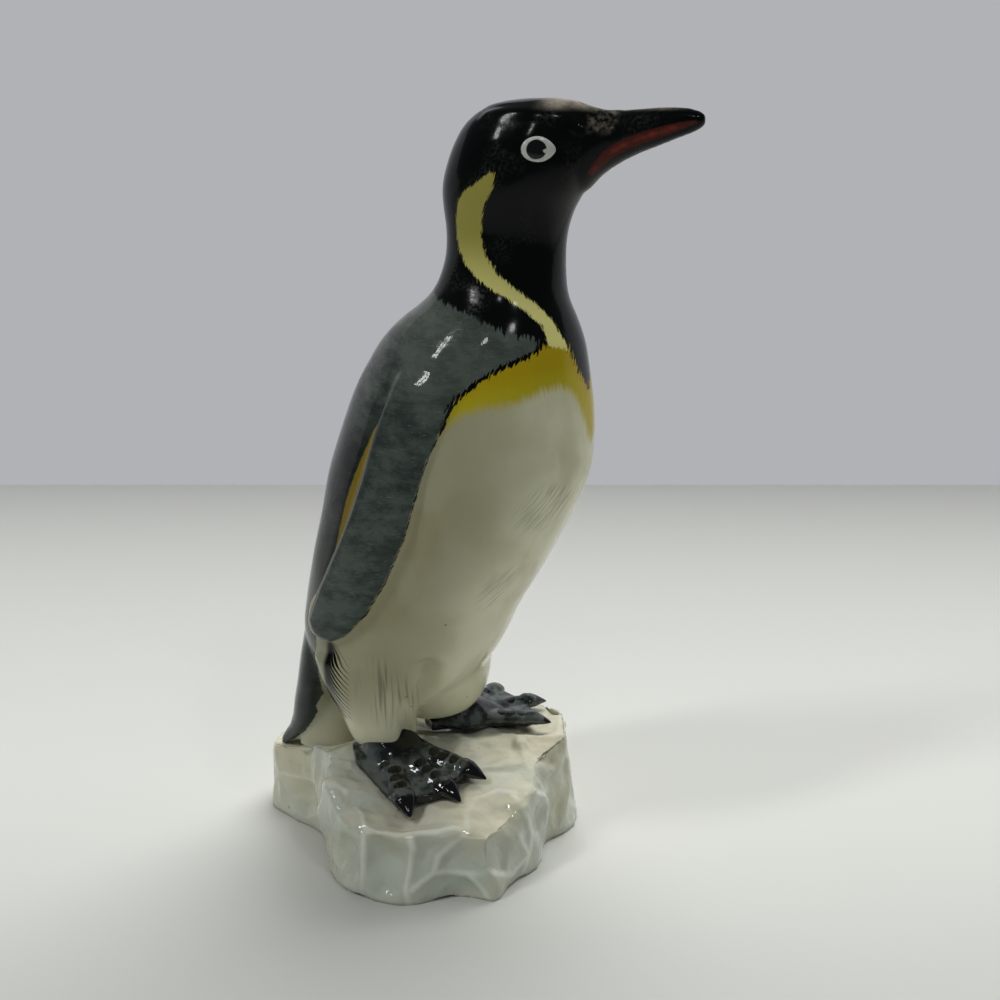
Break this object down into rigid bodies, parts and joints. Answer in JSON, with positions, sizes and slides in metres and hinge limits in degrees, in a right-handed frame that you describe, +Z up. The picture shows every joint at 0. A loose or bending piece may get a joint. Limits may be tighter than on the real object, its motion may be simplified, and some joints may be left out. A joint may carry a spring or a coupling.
{
  "type": "penguin figurine",
  "caption": "Standing penguin in hand-painted glazed porcelain on a chiselled block of ice, a free-standing ornament with a flat underside.",
  "frame": {"origin": "middle of the flat underside of the ice block, on the surface that it stands on", "axes": "+Z up; the bird faces -Y, so its right side is -X and its left side is +X"},
  "size_m": [0.086, 0.1203, 0.1936],
  "materials": {
    "ice_glaze": "white porcelain under a clear, wet-looking glaze, cream in the hollows",
    "bird_glaze": "cream porcelain with slate back and flippers and a yellow breast painted under a clear glaze",
    "head_glaze": "brushed black over-glaze with an olive yellow ear patch, glossy",
    "bill_glaze": "glossy black with a dark red plate on each side of the lower bill",
    "foot_glaze": "glossy slate black with black scale marks",
    "eye_glaze": "white ring round a black pupil, glossy"
  },
  "bodies": {
    "root": {"rock_base": "ice_glaze", "torso_shell": "bird_glaze", "head_shell": "head_glaze", "bill": "bill_glaze", "tail": "bird_glaze", "right_flipper": "bird_glaze", "left_flipper": "bird_glaze", "right_leg": "bird_glaze", "left_leg": "bird_glaze", "right_foot": "foot_glaze", "left_foot": "foot_glaze", "right_eye": "eye_glaze", "left_eye": "eye_glaze"}
  },
  "joints": []
}
